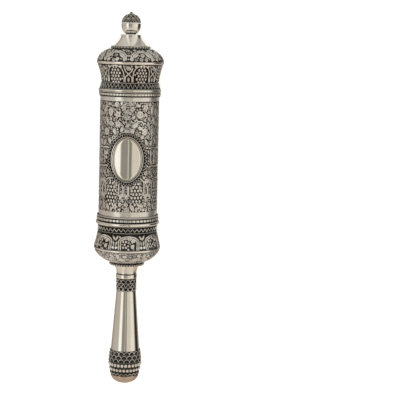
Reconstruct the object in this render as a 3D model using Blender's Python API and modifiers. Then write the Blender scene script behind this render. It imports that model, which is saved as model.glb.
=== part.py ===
# Cased esther scroll: a silver tube with a crown at each end, a finial on the upper crown
# and a handle under the lower one. It lies on the two crowns with the finial towards +Y
# and the oval shield facing up.
import math

import bmesh
import bpy
from mathutils import Matrix

# The fit between neighbours, in metres like every size here
gap = 0.0003
sheet = 0.0010
lid_clearance = 0.00035

# The tube and the rings at its ends
tube_radius = 0.0237
tube_length = 0.10385
top_ring_height = 0.00315
top_ring_projection = 0.0013
bottom_ring_height = 0.0048
bottom_ring_projection = 0.0015
ring_edge = 0.0006
spigot_depth = 0.0060

# The two crowns
crown_overhang = 0.0033
crown_band_height = 0.0030
crown_dome_height = 0.0106
crown_shoulder = 0.00275
crown_waist_height = 0.0157
crown_waist_inset = 0.0006
crown_waist_curve = 1.8
base_band_height = 0.0026
base_dome_height = 0.0134
base_shoulder = 0.0003
base_waist_height = 0.0127
base_waist_projection = 0.0004
base_waist_curve = 1.35
rest_flat_width = 0.0090

# The filigree bands and rims at the crowns' mouths
lid_rim_height = 0.00255
lid_rim_projection = 0.0015
lid_band_height = 0.0047
lid_band_slope = 0.0014
base_rim_height = 0.0027
base_rim_projection = 0.0021
base_band_wall = 0.0016
base_filigree_height = 0.0049

# The finial and its foot
point_height = 0.0016
point_radius = 0.0017
ball_radius = 0.0079
cap_height = 0.0073
cup_depth = 0.0078
cup_curve = 0.0090
cup_fullness = 2.5
cup_foot_height = 0.0009
cup_foot_radius = 0.0042
neck_height = 0.0111
neck_lip_radius = 0.0083
neck_lip_height = 0.0022
neck_flare = 1.25
neck_foot_radius = 0.0132
neck_hem_height = 0.0020
rope_radius = 0.00115
rope_clearance = 0.0006

# The handle
root_height = 0.0093
root_top_radius = 0.0116
root_bottom_radius = 0.0080
root_flare = 2.2
collar_height = 0.0038
collar_radius = 0.0085
shaft_length = 0.0801
shaft_top_radius = 0.0080
shaft_bottom_radius = 0.0116
shaft_foot_radius = 0.0108
sleeve_wall = 0.0008
top_sleeve_height = 0.0104
top_sleeve_radius = 0.00835
bottom_sleeve_height = 0.0110
bottom_sleeve_top_radius = 0.0124
bottom_sleeve_bottom_radius = 0.0137
bead_count = 24
bead_band_depth = 0.0010
upper_bead_radius = 0.0016
upper_bead_circle = 0.0127
upper_row_height = 0.0042
lower_bead_radius = 0.0015
lower_bead_circle = 0.0121
lower_row_height = 0.0036
pommel_ring_height = 0.0026
pommel_ring_radius = 0.0124
pommel_radius = 0.0116
pommel_height = 0.0078

# The oval shield on the tube
shield_offset = 0.0006
shield_half_width = 0.0110
shield_half_height = 0.0163
shield_thickness = 0.0007
shield_rim_width = 0.0017
shield_rim_thickness = 0.0014
shield_border_width = 0.0026
shield_border_thickness = 0.0009

# How finely the round pieces are divided
wide_steps = 30
narrow_steps = 20

# Radii that follow from the sizes above
tube_bore = tube_radius - sheet
spigot_radius = tube_bore - lid_clearance
crown_radius = tube_radius + crown_overhang
rope_circle = neck_foot_radius + rope_clearance + rope_radius
base_rope_circle = root_top_radius + rope_clearance + rope_radius
rest_flat_depth = crown_radius - math.sqrt(crown_radius**2 - (rest_flat_width / 2) ** 2)

# Stations along the case, measured down from the finial's point
ball_middle = point_height + gap + cap_height
neck_top = ball_middle + gap + cup_depth + cup_foot_height + gap
crown_top = neck_top + neck_height + gap
crown_middle = crown_top + crown_dome_height
crown_waist_end = crown_middle + crown_waist_height
lid_band_top = crown_waist_end + gap
lid_rim_top = lid_band_top + lid_band_height + gap
tube_top = lid_rim_top + lid_rim_height + gap
tube_end = tube_top + tube_length
base_rim_top = tube_end + gap
base_filigree_top = base_rim_top + base_rim_height + gap
base_waist_start = base_filigree_top + base_filigree_height + gap
base_middle = base_waist_start + base_waist_height
base_bottom = base_middle + base_dome_height
root_top = base_bottom + gap
collar_top = root_top + root_height + gap
shaft_top = collar_top + collar_height + gap
shaft_end = shaft_top + shaft_length
pommel_top = shaft_end + gap
case_length = pommel_top + pommel_height

for old in list(bpy.data.objects):
    bpy.data.objects.remove(old, do_unlink=True)

case = bpy.data.collections.new("cased_esther_scroll")
cutters = bpy.data.collections.new("cutters")
bpy.context.scene.collection.children.link(case)
bpy.context.scene.collection.children.link(cutters)

# The case's own axis: built upright around it, then laid down with the finial towards +Y
axis = bpy.data.objects.new("case_axis", None)
axis.location = (0, case_length / 2, crown_radius - rest_flat_depth)
axis.rotation_euler = (-math.pi / 2, 0, 0)
case.objects.link(axis)


def metal(name, colour, roughness):
    mat = bpy.data.materials.new(name)
    mat.use_nodes = True
    shader = mat.node_tree.nodes["Principled BSDF"]
    shader.inputs["Base Color"].default_value = (*colour, 1)
    shader.inputs["Roughness"].default_value = roughness
    shader.inputs["Metallic"].default_value = 1.0
    return mat


def place(name, mesh, mat, collection=case):
    obj = bpy.data.objects.new(name, mesh)
    collection.objects.link(obj)
    obj.parent = axis
    if mat:
        mesh.materials.append(mat)
    return obj


def turned(name, outline, steps, mat, closed=True):
    """A turned piece: the outline holds (radius, station) and runs down its outer side."""
    bm = bmesh.new()
    verts = [bm.verts.new((radius, 0, -station)) for radius, station in outline]
    for first, second in zip(verts, verts[1:] + verts[:1] if closed else verts[1:]):
        bm.edges.new((first, second))
    mesh = bpy.data.meshes.new(name)
    bm.to_mesh(mesh)
    bm.free()
    obj = place(name, mesh, mat)
    screw = obj.modifiers.new("Turn", "SCREW")
    screw.axis = "Z"
    screw.angle = 2 * math.pi
    screw.steps = screw.render_steps = steps
    screw.use_merge_vertices = True
    screw.merge_threshold = 0.00001
    return obj


def cut(obj, cutter, operation="DIFFERENCE"):
    change = obj.modifiers.new(cutter.name, "BOOLEAN")
    change.operation = operation
    change.solver = "EXACT"
    change.object = cutter


def as_cutter(obj):
    obj.hide_render = True
    obj.display_type = "WIRE"
    return obj


def hoop(inner, outer, top, height, edge):
    """Outline of a ring with eased outer edges."""
    bottom = top + height
    return [
        (inner, top),
        (outer - edge, top),
        (outer, top + edge),
        (outer, bottom - edge),
        (outer - edge, bottom),
        (inner, bottom),
    ]


def sleeve(inner, top_radius, bottom_radius, top, height):
    """Outline of a sleeve whose outer side leans from one radius to the other."""
    return [(inner, top), (top_radius, top), (bottom_radius, top + height), (inner, top + height)]


def wire_loop(circle, thickness, station, sides=5):
    """Outline of a round wire bent into a ring."""
    turns = [2 * math.pi * (i + 0.5) / sides for i in range(sides)]
    return [(circle + thickness * math.sin(a), station - thickness * math.cos(a)) for a in turns]


def crown_outline(dome_height, flat_radius, band_height, waist_height, waist_radius, waist_power, seat, end):
    """Outline of a crown, from the centre of its closed top, as (radius, distance from its widest line).

    Distances run from the closed top (negative) to the mouth (positive). The dome is an ellipse
    whose height is set so that it meets the flat top at the flat's radius.
    """
    dome_curve = dome_height / math.sqrt(1 - (flat_radius / crown_radius) ** 2)

    def dome(distance, inset=0.0):
        share = min(1.0, distance / (dome_curve - inset))
        return (crown_radius - inset) * math.sqrt(1 - share**2)

    def waist(distance):
        share = min(1.0, max(0.0, distance / waist_height))
        return waist_radius + (crown_radius - waist_radius) * (1 - share) ** waist_power

    half_band = band_height / 2
    outline = [(0, -dome_height)]
    for share in (1, 0.8, 0.5):
        outline.append((dome(share * dome_height), -share * dome_height))
    outline += [(dome(half_band), -half_band), (crown_radius, -half_band), (crown_radius, half_band)]
    for share in (0.25, 0.55, 1):
        outline.append((waist(share * waist_height), share * waist_height))
    outline += [(seat, waist_height), (seat, end), (seat - sheet, end), (seat - sheet, waist_height - sheet)]
    for share in (0.8, 0.3):
        outline.append((waist(share * waist_height) - sheet, share * waist_height))
    inner_height = dome_height - sheet
    for share in (0.1, 0.6, 1):
        outline.append((dome(share * inner_height, sheet), -share * inner_height))
    outline.append((0, -inner_height))
    return outline


def rest_flat(crown, station):
    """The small flat spot that a crown lies on."""
    bpy.ops.mesh.primitive_cube_add(size=1)
    block = bpy.context.object
    block.name = crown.name + "_rest_cutter"
    for owner in list(block.users_collection):
        owner.objects.unlink(block)
    cutters.objects.link(block)
    block.scale = (4 * crown_radius, crown_radius, 2 * crown_overhang + 4 * crown_band_height)
    block.parent = axis
    block.location = (0, crown_radius * 1.5 - rest_flat_depth, -station)
    cut(crown, as_cutter(block))


def oval_cutter(name, half_width, half_height, station):
    """An upright oval prism that reaches out of the tube's front."""
    bpy.ops.mesh.primitive_cylinder_add(vertices=wide_steps, radius=1, depth=2 * tube_radius)
    prism = bpy.context.object
    prism.name = name
    for owner in list(prism.users_collection):
        owner.objects.unlink(prism)
    cutters.objects.link(prism)
    prism.data.transform(Matrix.Rotation(math.pi / 2, 4, "X"))
    prism.data.transform(Matrix.Diagonal((half_width, 1, half_height, 1)))
    prism.parent = axis
    prism.location = (0, -1.5 * tube_radius, -station)
    return as_cutter(prism)


def shield_part(name, outer, inner, thickness, mat):
    """A curved plate on the tube, bounded by ovals given as (half width, half height)."""
    reach = outer[1] + 2 * sheet
    inside = tube_radius + gap
    bend = sleeve(inside, inside + thickness, inside + thickness, shield_middle - reach, 2 * reach)
    plate = turned(name, bend, wide_steps, mat)
    cut(plate, oval_cutter(name + "_outline", *outer, shield_middle), "INTERSECT")
    if inner:
        cut(plate, oval_cutter(name + "_window", *inner, shield_middle))
    return plate


def beaded_ring(name, bore, circle, bead, top, height, mat):
    """A row of touching round beads on a narrow band, joined into one body and bored through."""
    station = top + height / 2
    face = circle + bead - bead_band_depth
    band = sleeve(bore - sheet, face, face, top, height)
    ring = turned(name, band, narrow_steps, mat)
    bm = bmesh.new()
    for i in range(bead_count):
        turn = 2 * math.pi * (i + 0.5) / bead_count
        spot = Matrix.Translation((circle * math.cos(turn), circle * math.sin(turn), -station))
        spot = spot @ Matrix.Rotation(turn, 4, "Z")
        bmesh.ops.create_uvsphere(bm, u_segments=6, v_segments=3, radius=bead, matrix=spot)
    mesh = bpy.data.meshes.new(name + "_beads")
    bm.to_mesh(mesh)
    bm.free()
    cut(ring, as_cutter(place(name + "_beads", mesh, None, cutters)), "UNION")
    bm = bmesh.new()
    bmesh.ops.create_cone(
        bm, cap_ends=True, segments=narrow_steps, radius1=bore, radius2=bore, depth=2 * height,
        matrix=Matrix.Translation((0, 0, -station)),
    )
    mesh = bpy.data.meshes.new(name + "_bore")
    bm.to_mesh(mesh)
    bm.free()
    cut(ring, as_cutter(place(name + "_bore", mesh, None, cutters)))
    return ring


# Finial: a small point, the filigree cap and the polished cup below it
turned(
    "finial_point",
    [(0, 0), (point_radius * 0.55, point_height * 0.25), (point_radius, point_height * 0.7)]
    + [(point_radius, point_height), (0, point_height)],
    narrow_steps // 2,
    metal("finial_point_silver", (0.30, 0.27, 0.24), 0.4),
    closed=False,
)

cap_turns = [math.asin(cap_height / ball_radius) * share for share in (1, 0.78, 0.52, 0.26, 0)]
turned(
    "finial_cap",
    [(0, ball_middle - cap_height)]
    + [(ball_radius * math.cos(a), ball_middle - ball_radius * math.sin(a)) for a in cap_turns]
    + [(0, ball_middle)],
    narrow_steps,
    metal("finial_filigree_silver", (0.34, 0.31, 0.28), 0.45),
    closed=False,
)

cup_outline = []
for share in (0, 0.3, 0.6, 0.85, 1):
    fall = (share * cup_depth / cup_curve) ** cup_fullness
    cup_outline.append(
        (ball_radius * (1 - fall) ** (1 / cup_fullness), ball_middle + gap + share * cup_depth)
    )
foot_end = ball_middle + gap + cup_depth + cup_foot_height
turned(
    "finial_cup",
    [(0, ball_middle + gap)]
    + cup_outline
    + [(cup_foot_radius, ball_middle + gap + cup_depth), (cup_foot_radius, foot_end), (0, foot_end)],
    narrow_steps,
    metal("finial_cup_silver", (0.80, 0.77, 0.72), 0.18),
    closed=False,
)


def flare(top_radius, foot_radius, start, height, power, count=3):
    """Points of a foot that spreads towards its lower end."""
    points = []
    for i in range(count + 1):
        share = i / count
        points.append((top_radius + (foot_radius - top_radius) * share**power, start + share * height))
    return points


# Foot of the finial: a bell closed at its top and open below, with the beaded wire around it
lip_end = neck_top + neck_lip_height
neck_flare_height = neck_height - neck_lip_height - neck_hem_height
neck_outer = flare(neck_lip_radius, neck_foot_radius, lip_end, neck_flare_height, neck_flare)
neck_outer.append((neck_foot_radius, neck_top + neck_height))
neck_inner = [(radius - sheet, station) for radius, station in reversed(neck_outer)]
turned(
    "crown_neck",
    [(0, neck_top), (neck_lip_radius - ring_edge, neck_top)]
    + [(neck_lip_radius, neck_top + ring_edge)]
    + neck_outer
    + neck_inner[:-1]
    + [(neck_lip_radius - sheet, neck_top + sheet), (0, neck_top + sheet)],
    narrow_steps,
    metal("crown_neck_silver", (0.74, 0.71, 0.66), 0.22),
    closed=False,
)
turned(
    "crown_rope_ring",
    wire_loop(rope_circle, rope_radius, crown_top - gap - rope_radius),
    wide_steps,
    metal("crown_rope_silver", (0.45, 0.42, 0.38), 0.35),
)

# Upper crown: dome, plain band and waist, with a spigot that slides into the tube
upper = crown_outline(
    crown_dome_height,
    rope_circle + crown_shoulder,
    crown_band_height,
    crown_waist_height,
    tube_radius - crown_waist_inset,
    crown_waist_curve,
    spigot_radius,
    tube_top + spigot_depth - crown_middle,
)
crown = turned(
    "crown",
    [(radius, crown_middle + distance) for radius, distance in upper],
    wide_steps,
    metal("crown_silver", (0.60, 0.56, 0.51), 0.3),
    closed=False,
)
rest_flat(crown, crown_middle)

band_bore = spigot_radius + gap
lid_band_radius = tube_radius - crown_waist_inset + 0.5 * gap
turned(
    "crown_zigzag_band",
    sleeve(band_bore, lid_band_radius, lid_band_radius + lid_band_slope, lid_band_top, lid_band_height),
    wide_steps,
    metal("crown_band_silver", (0.32, 0.29, 0.26), 0.4),
)
turned(
    "lid_rim",
    hoop(band_bore, tube_radius + lid_rim_projection, lid_rim_top, lid_rim_height, ring_edge),
    wide_steps,
    metal("lid_rim_silver", (0.66, 0.62, 0.57), 0.3),
)

# Tube, open at both ends, with a ring around each end
tube_wall = [(tube_radius, tube_top), (tube_radius, tube_end), (tube_bore, tube_end), (tube_bore, tube_top)]
turned("scroll_tube", tube_wall, wide_steps, metal("tube_silver", (0.55, 0.51, 0.46), 0.32))
ring_bore = tube_radius + gap
turned(
    "tube_top_ring",
    hoop(ring_bore, tube_radius + top_ring_projection, tube_top, top_ring_height, ring_edge),
    wide_steps,
    metal("tube_top_ring_silver", (0.66, 0.62, 0.57), 0.3),
)
turned(
    "tube_bottom_ring",
    hoop(
        ring_bore,
        tube_radius + bottom_ring_projection,
        tube_end - bottom_ring_height,
        bottom_ring_height,
        ring_edge,
    ),
    wide_steps,
    metal("tube_bottom_ring_silver", (0.64, 0.60, 0.55), 0.3),
)

# Oval shield on the tube's front: plate, double wire and border, each clear of the next
shield_middle = (tube_top + tube_end) / 2 + shield_offset
rim_inner = (shield_half_width + gap, shield_half_height + gap)
rim_outer = (rim_inner[0] + shield_rim_width, rim_inner[1] + shield_rim_width)
border_inner = (rim_outer[0] + gap, rim_outer[1] + gap)
border_outer = (border_inner[0] + shield_border_width, border_inner[1] + shield_border_width)
shield_part(
    "cartouche_plate",
    (shield_half_width, shield_half_height),
    None,
    shield_thickness,
    metal("shield_silver", (0.86, 0.84, 0.80), 0.1),
)
shield_part(
    "cartouche_rim",
    rim_outer,
    rim_inner,
    shield_rim_thickness,
    metal("shield_wire_silver", (0.70, 0.66, 0.60), 0.28),
)
shield_part(
    "cartouche_border",
    border_outer,
    border_inner,
    shield_border_thickness,
    metal("shield_border_silver", (0.26, 0.23, 0.20), 0.45),
)

# Lower crown: the upper one's form turned over, its spigot fixed in the tube's lower end
lower = crown_outline(
    base_dome_height,
    base_rope_circle + base_shoulder,
    base_band_height,
    base_waist_height,
    tube_radius + base_waist_projection,
    base_waist_curve,
    spigot_radius,
    base_middle - tube_end + spigot_depth,
)
base_crown = turned(
    "base_crown",
    [(radius, base_middle - distance) for radius, distance in reversed(lower)],
    wide_steps,
    metal("base_crown_silver", (0.58, 0.54, 0.49), 0.3),
    closed=False,
)
rest_flat(base_crown, base_middle)
turned(
    "base_rim",
    hoop(band_bore, tube_radius + base_rim_projection, base_rim_top, base_rim_height, ring_edge),
    wide_steps,
    metal("base_rim_silver", (0.70, 0.66, 0.61), 0.25),
)
base_filigree_radius = band_bore + base_band_wall
turned(
    "base_zigzag_band",
    sleeve(band_bore, base_filigree_radius, base_filigree_radius, base_filigree_top, base_filigree_height),
    wide_steps,
    metal("base_band_silver", (0.32, 0.29, 0.26), 0.4),
)

# Root of the handle: a bell open at its wide end, with the beaded wire around it
root_outer = flare(root_bottom_radius, root_top_radius, root_top + root_height, -root_height, root_flare)
root_outer.reverse()
root_inner = [(radius - sheet, station) for radius, station in reversed(root_outer)]
turned(
    "base_neck",
    root_outer + root_inner,
    narrow_steps,
    metal("base_neck_silver", (0.66, 0.62, 0.57), 0.25),
)
turned(
    "base_rope_ring",
    wire_loop(base_rope_circle, rope_radius, base_bottom + gap + rope_radius),
    wide_steps,
    metal("base_rope_silver", (0.45, 0.42, 0.38), 0.35),
)

# Handle: a plain collar and a hollow tapered shaft that carries the sleeves and bead rings
turned(
    "handle_collar",
    hoop(root_bottom_radius - sheet, collar_radius, collar_top, collar_height, ring_edge),
    narrow_steps,
    metal("collar_silver", (0.84, 0.81, 0.76), 0.14),
)

top_sleeve_bore = top_sleeve_radius - sleeve_wall
top_sleeve_end = shaft_top + top_sleeve_height
pommel_ring_top = shaft_end - pommel_ring_height
lower_row_top = pommel_ring_top - gap - lower_row_height
upper_row_top = lower_row_top - gap - upper_row_height
bottom_sleeve_end = upper_row_top - gap
bottom_sleeve_start = bottom_sleeve_end - bottom_sleeve_height
visible_start = top_sleeve_end + gap
visible_end = bottom_sleeve_start - gap
shaft_outer = [
    (top_sleeve_bore - gap, shaft_top),
    (top_sleeve_bore - gap, visible_start),
    (shaft_top_radius, visible_start),
]
for share in (0.33, 0.67, 1):
    shaft_outer.append(
        (
            shaft_top_radius + (shaft_bottom_radius - shaft_top_radius) * share,
            visible_start + (visible_end - visible_start) * share,
        )
    )
shaft_outer += [(shaft_foot_radius, visible_end), (shaft_foot_radius, shaft_end)]
shaft_inner = [
    (shaft_foot_radius - sheet, shaft_end),
    (shaft_foot_radius - sheet, visible_end),
    (top_sleeve_bore - gap - sheet, visible_start),
    (top_sleeve_bore - gap - sheet, shaft_top),
]
turned(
    "handle_shaft",
    shaft_outer + shaft_inner,
    narrow_steps,
    metal("shaft_silver", (0.86, 0.84, 0.80), 0.1),
)
turned(
    "handle_top_filigree",
    sleeve(top_sleeve_bore, top_sleeve_radius, top_sleeve_radius, shaft_top, top_sleeve_height),
    narrow_steps,
    metal("top_filigree_silver", (0.33, 0.30, 0.27), 0.4),
)
foot_bore = shaft_foot_radius + gap
turned(
    "handle_bottom_filigree",
    sleeve(
        foot_bore,
        bottom_sleeve_top_radius,
        bottom_sleeve_bottom_radius,
        bottom_sleeve_start,
        bottom_sleeve_height,
    ),
    narrow_steps,
    metal("bottom_filigree_silver", (0.33, 0.30, 0.27), 0.4),
)
beaded_ring(
    "handle_bead_ring_upper",
    foot_bore,
    upper_bead_circle,
    upper_bead_radius,
    upper_row_top,
    upper_row_height,
    metal("upper_bead_silver", (0.72, 0.68, 0.62), 0.25),
)
beaded_ring(
    "handle_bead_ring_lower",
    foot_bore,
    lower_bead_circle,
    lower_bead_radius,
    lower_row_top,
    lower_row_height,
    metal("lower_bead_silver", (0.70, 0.66, 0.60), 0.25),
)
turned(
    "pommel_filigree_ring",
    hoop(foot_bore, pommel_ring_radius, pommel_ring_top, pommel_ring_height, ring_edge),
    narrow_steps,
    metal("pommel_ring_silver", (0.40, 0.37, 0.33), 0.4),
)

# The dome that closes the handle's end, hollow towards the shaft
pommel_outer = []
pommel_inner = []
for share in (0, 0.25, 0.5, 0.75, 1):
    turn = share * math.pi / 2
    pommel_outer.append((pommel_radius * math.cos(turn), pommel_top + pommel_height * math.sin(turn)))
    pommel_inner.append(
        ((pommel_radius - sheet) * math.cos(turn), pommel_top + (pommel_height - sheet) * math.sin(turn))
    )
pommel_outer[-1] = (0, case_length)
pommel_inner[-1] = (0, case_length - sheet)
turned(
    "pommel_dome",
    list(pommel_outer) + list(reversed(pommel_inner)),
    narrow_steps,
    metal("pommel_silver", (0.70, 0.62, 0.54), 0.25),
)
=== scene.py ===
import math
import bpy
import numpy as np
from mathutils import Matrix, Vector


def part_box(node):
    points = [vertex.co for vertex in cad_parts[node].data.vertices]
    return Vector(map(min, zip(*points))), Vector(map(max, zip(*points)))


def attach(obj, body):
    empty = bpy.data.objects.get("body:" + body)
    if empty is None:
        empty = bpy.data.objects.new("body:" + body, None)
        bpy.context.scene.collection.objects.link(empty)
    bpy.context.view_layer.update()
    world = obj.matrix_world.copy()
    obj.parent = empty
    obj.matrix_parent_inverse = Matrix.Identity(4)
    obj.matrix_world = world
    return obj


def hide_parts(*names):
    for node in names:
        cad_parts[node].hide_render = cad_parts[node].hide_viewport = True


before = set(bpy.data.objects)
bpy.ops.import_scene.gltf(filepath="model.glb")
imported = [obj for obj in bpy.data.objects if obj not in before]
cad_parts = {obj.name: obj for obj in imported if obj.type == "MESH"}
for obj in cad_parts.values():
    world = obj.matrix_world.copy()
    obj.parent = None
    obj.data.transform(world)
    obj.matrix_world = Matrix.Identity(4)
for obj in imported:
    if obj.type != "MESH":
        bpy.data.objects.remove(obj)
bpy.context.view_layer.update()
rng = np.random.default_rng(14)

# The case lies along Y with its finial towards +Y and its shield up.
# Shapes are worked out in millimetres: an angle round the case from the shield, a station
# down from the finial's tip, and a distance out from the case's axis.
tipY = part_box("finial_point")[1].y * 1000
tubeLow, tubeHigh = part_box("scroll_tube")
axisZ = (tubeLow.z + tubeHigh.z) * 500
fullTurn = 2 * math.pi


def span(node):
    # first station, last station and greatest radius of a CAD node
    low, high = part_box(node)
    return tipY - high.y * 1000, tipY - low.y * 1000, (high.x - low.x) * 500


def toWorld(angle, station, out):
    # nothing goes below the floor, so the crowns keep the small flats that they lie on
    angle, station, out = np.broadcast_arrays(angle, station, out)
    height = np.maximum(axisZ + out * np.cos(angle), 0)
    return np.stack([out * np.sin(angle), tipY - station, height], -1) / 1000


class Socket:
    # an output socket that sums can be written with
    def __init__(self, nodes, socket):
        self.nodes, self.socket = nodes, socket

    def math(self, operation, *values):
        return self.nodes.add("ShaderNodeMath", {"operation": operation}, dict(enumerate(values)))

    def __add__(self, other):
        return self.math("ADD", self, other)

    def __radd__(self, other):
        return self.math("ADD", other, self)

    def __sub__(self, other):
        return self.math("SUBTRACT", self, other)

    def __rsub__(self, other):
        return self.math("SUBTRACT", other, self)

    def __mul__(self, other):
        return self.math("MULTIPLY", self, other)

    def __rmul__(self, other):
        return self.math("MULTIPLY", other, self)

    def __truediv__(self, other):
        return self.math("DIVIDE", self, other)

    def __rtruediv__(self, other):
        return self.math("DIVIDE", other, self)

    def clamped(self):
        return self.nodes.add("ShaderNodeClamp", {}, {"Value": self})


class Nodes:
    # the node tree of a material or of the world
    def __init__(self, owner):
        owner.use_nodes = True
        self.tree = owner.node_tree
        self.tree.nodes.clear()

    def add(self, kind, settings, sockets, output=0):
        node = self.tree.nodes.new(kind)
        for key, value in settings.items():
            if key == "stops":
                ramp = node.color_ramp.elements
                while len(ramp) < len(value):
                    ramp.new(0.5)
                for stop, (position, colour) in zip(ramp, value):
                    stop.position = position
                    stop.color = (*colour, 1)
            else:
                setattr(node, key, value)
        for key, value in sockets.items():
            if isinstance(value, Socket):
                self.tree.links.new(value.socket, node.inputs[key])
            else:
                node.inputs[key].default_value = value
        return Socket(self, node.outputs[output]) if len(node.outputs) else node

    def blend(self, factor, first, second):
        # a Mix node takes its two colours at inputs 6 and 7 and gives a colour at output 2
        first = (*first, 1) if isinstance(first, tuple) else first
        second = (*second, 1) if isinstance(second, tuple) else second
        return self.add("ShaderNodeMix", {"data_type": "RGBA"}, {0: factor, 6: first, 7: second}, 2)

    def noise(self, coords, scale, detail, roughness):
        looks = {"Vector": coords, "Scale": scale, "Detail": detail, "Roughness": roughness}
        return self.add("ShaderNodeTexNoise", {}, looks)


noiseMiddle = 0.5  # a noise swings about this value


def silver(name, look):
    # silver darkened by each vertex's recess value, which is dark oxide left in its recesses and also painted
    # shade under the finial's cup and behind the rope rings; cloudy tarnish and fine scratches
    mat = bpy.data.materials.new(name)
    nodes = Nodes(mat)
    coords = nodes.add("ShaderNodeTexCoord", {}, {}, "Object")
    recess = nodes.add("ShaderNodeAttribute", {"attribute_name": "recess"}, {}, "Fac")
    cloud = nodes.noise(coords, look["cloudScale"], *look["cloudDetail"])
    speck = nodes.noise(coords, look["speckScale"], *look["speckDetail"])
    cloudSwing, speckSwing = cloud - noiseMiddle, speck - noiseMiddle
    # the recess value is oxide in hollows and, on some pieces, painted shade; both darken the colour here
    oxideAndShade = recess * look["oxideAndShade"] + speckSwing * look["speck"] + cloudSwing * look["cloud"]
    oxideAndShade = oxideAndShade.clamped()
    warmth = ((cloud - look["toneFrom"]) * look["toneSteep"]).clamped()
    tone = nodes.blend(warmth, look["cool"], look["warm"])
    colour = nodes.blend(oxideAndShade, tone, look["dark"])
    stretched = nodes.add("ShaderNodeVectorMath", {"operation": "MULTIPLY"}, {0: coords, 1: look["grain"]})
    scratch = nodes.noise(stretched, look["scratchScale"], *look["scratchDetail"])
    roughness = look["rough"] + cloudSwing * look["smudge"] + (scratch - noiseMiddle) * look["smudge"]
    roughness = roughness + oxideAndShade * look["oxideRough"]
    relief = speck * look["pit"] + scratch * look["scratch"]
    bump = nodes.add("ShaderNodeBump", {}, {"Strength": 1.0, "Distance": look["bumpDepth"], "Height": relief})
    looks = {
        "Base Color": colour,
        "Metallic": 1 - oxideAndShade * look["oxideMatt"],
        "Roughness": roughness.clamped(),
        "Normal": bump,
        "Specular IOR Level": look["specular"],
    }
    shader = nodes.add("ShaderNodeBsdfPrincipled", {}, looks)
    nodes.add("ShaderNodeOutputMaterial", {}, {"Surface": shader})
    return mat


softLook = {
    "cool": (0.80, 0.785, 0.745), "warm": (0.78, 0.735, 0.66), "dark": (0.005, 0.004, 0.003),
    "oxideAndShade": 1.0, "oxideRough": 0.3, "oxideMatt": 0.6, "speck": 0.06, "speckScale": 700,
    "cloud": 0.12, "cloudScale": 45, "rough": 0.13, "smudge": 0.06, "pit": 0.05, "scratch": 0.05,
    "grain": (1.0, 0.12, 1.0), "scratchScale": 900, "bumpDepth": 0.00012, "specular": 0.15,
    "toneFrom": 0.35, "toneSteep": 2.5,
    # detail and roughness of each noise
    "cloudDetail": (3, 0.55), "speckDetail": (3, 0.6), "scratchDetail": (2, 0.6),
}
polishedLook = {**softLook, "rough": 0.09, "smudge": 0.05, "pit": 0.02, "scratch": 0.03, "cloud": 0.05}
chasedLook = {
    **softLook, "cool": (0.84, 0.825, 0.79), "warm": (0.76, 0.685, 0.60), "speck": 0.25, "speckScale": 1300,
    "cloud": 0.2, "rough": 0.13, "smudge": 0.06, "pit": 0.12, "scratch": 0.05,
}
filigreeLook = {
    **softLook, "cool": (0.90, 0.885, 0.86), "warm": (0.86, 0.815, 0.75), "speck": 0.1,
    "speckScale": 1600, "cloud": 0.08, "rough": 0.33, "pit": 0.2, "scratch": 0.1,
}
beadedLook = {
    **softLook, "cool": (0.88, 0.855, 0.81), "warm": (0.84, 0.78, 0.70), "rough": 0.26, "speck": 0.12,
    "pit": 0.15,
}
pommelLook = {
    **softLook, "cool": (0.55, 0.455, 0.39), "warm": (0.52, 0.41, 0.335), "rough": 0.24, "cloud": 0.2,
    "pit": 0.1,
}
finishes = {
    "polished_silver": silver("polished_silver", polishedLook),
    "soft_silver": silver("soft_silver", softLook),
    "beaded_silver": silver("beaded_silver", beadedLook),
    "chased_silver": silver("chased_silver", chasedLook),
    "dark_filigree": silver("dark_filigree", filigreeLook),
    "pommel_silver": silver("pommel_silver", pommelLook),
}
print("finishes ready")

# beads and wires are free of tarnish above this share of their half height
beadClean, wireClean = 0.6, 0.35
sharpAngle = math.radians(50)  # sharper edges than this stay crisp


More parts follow.
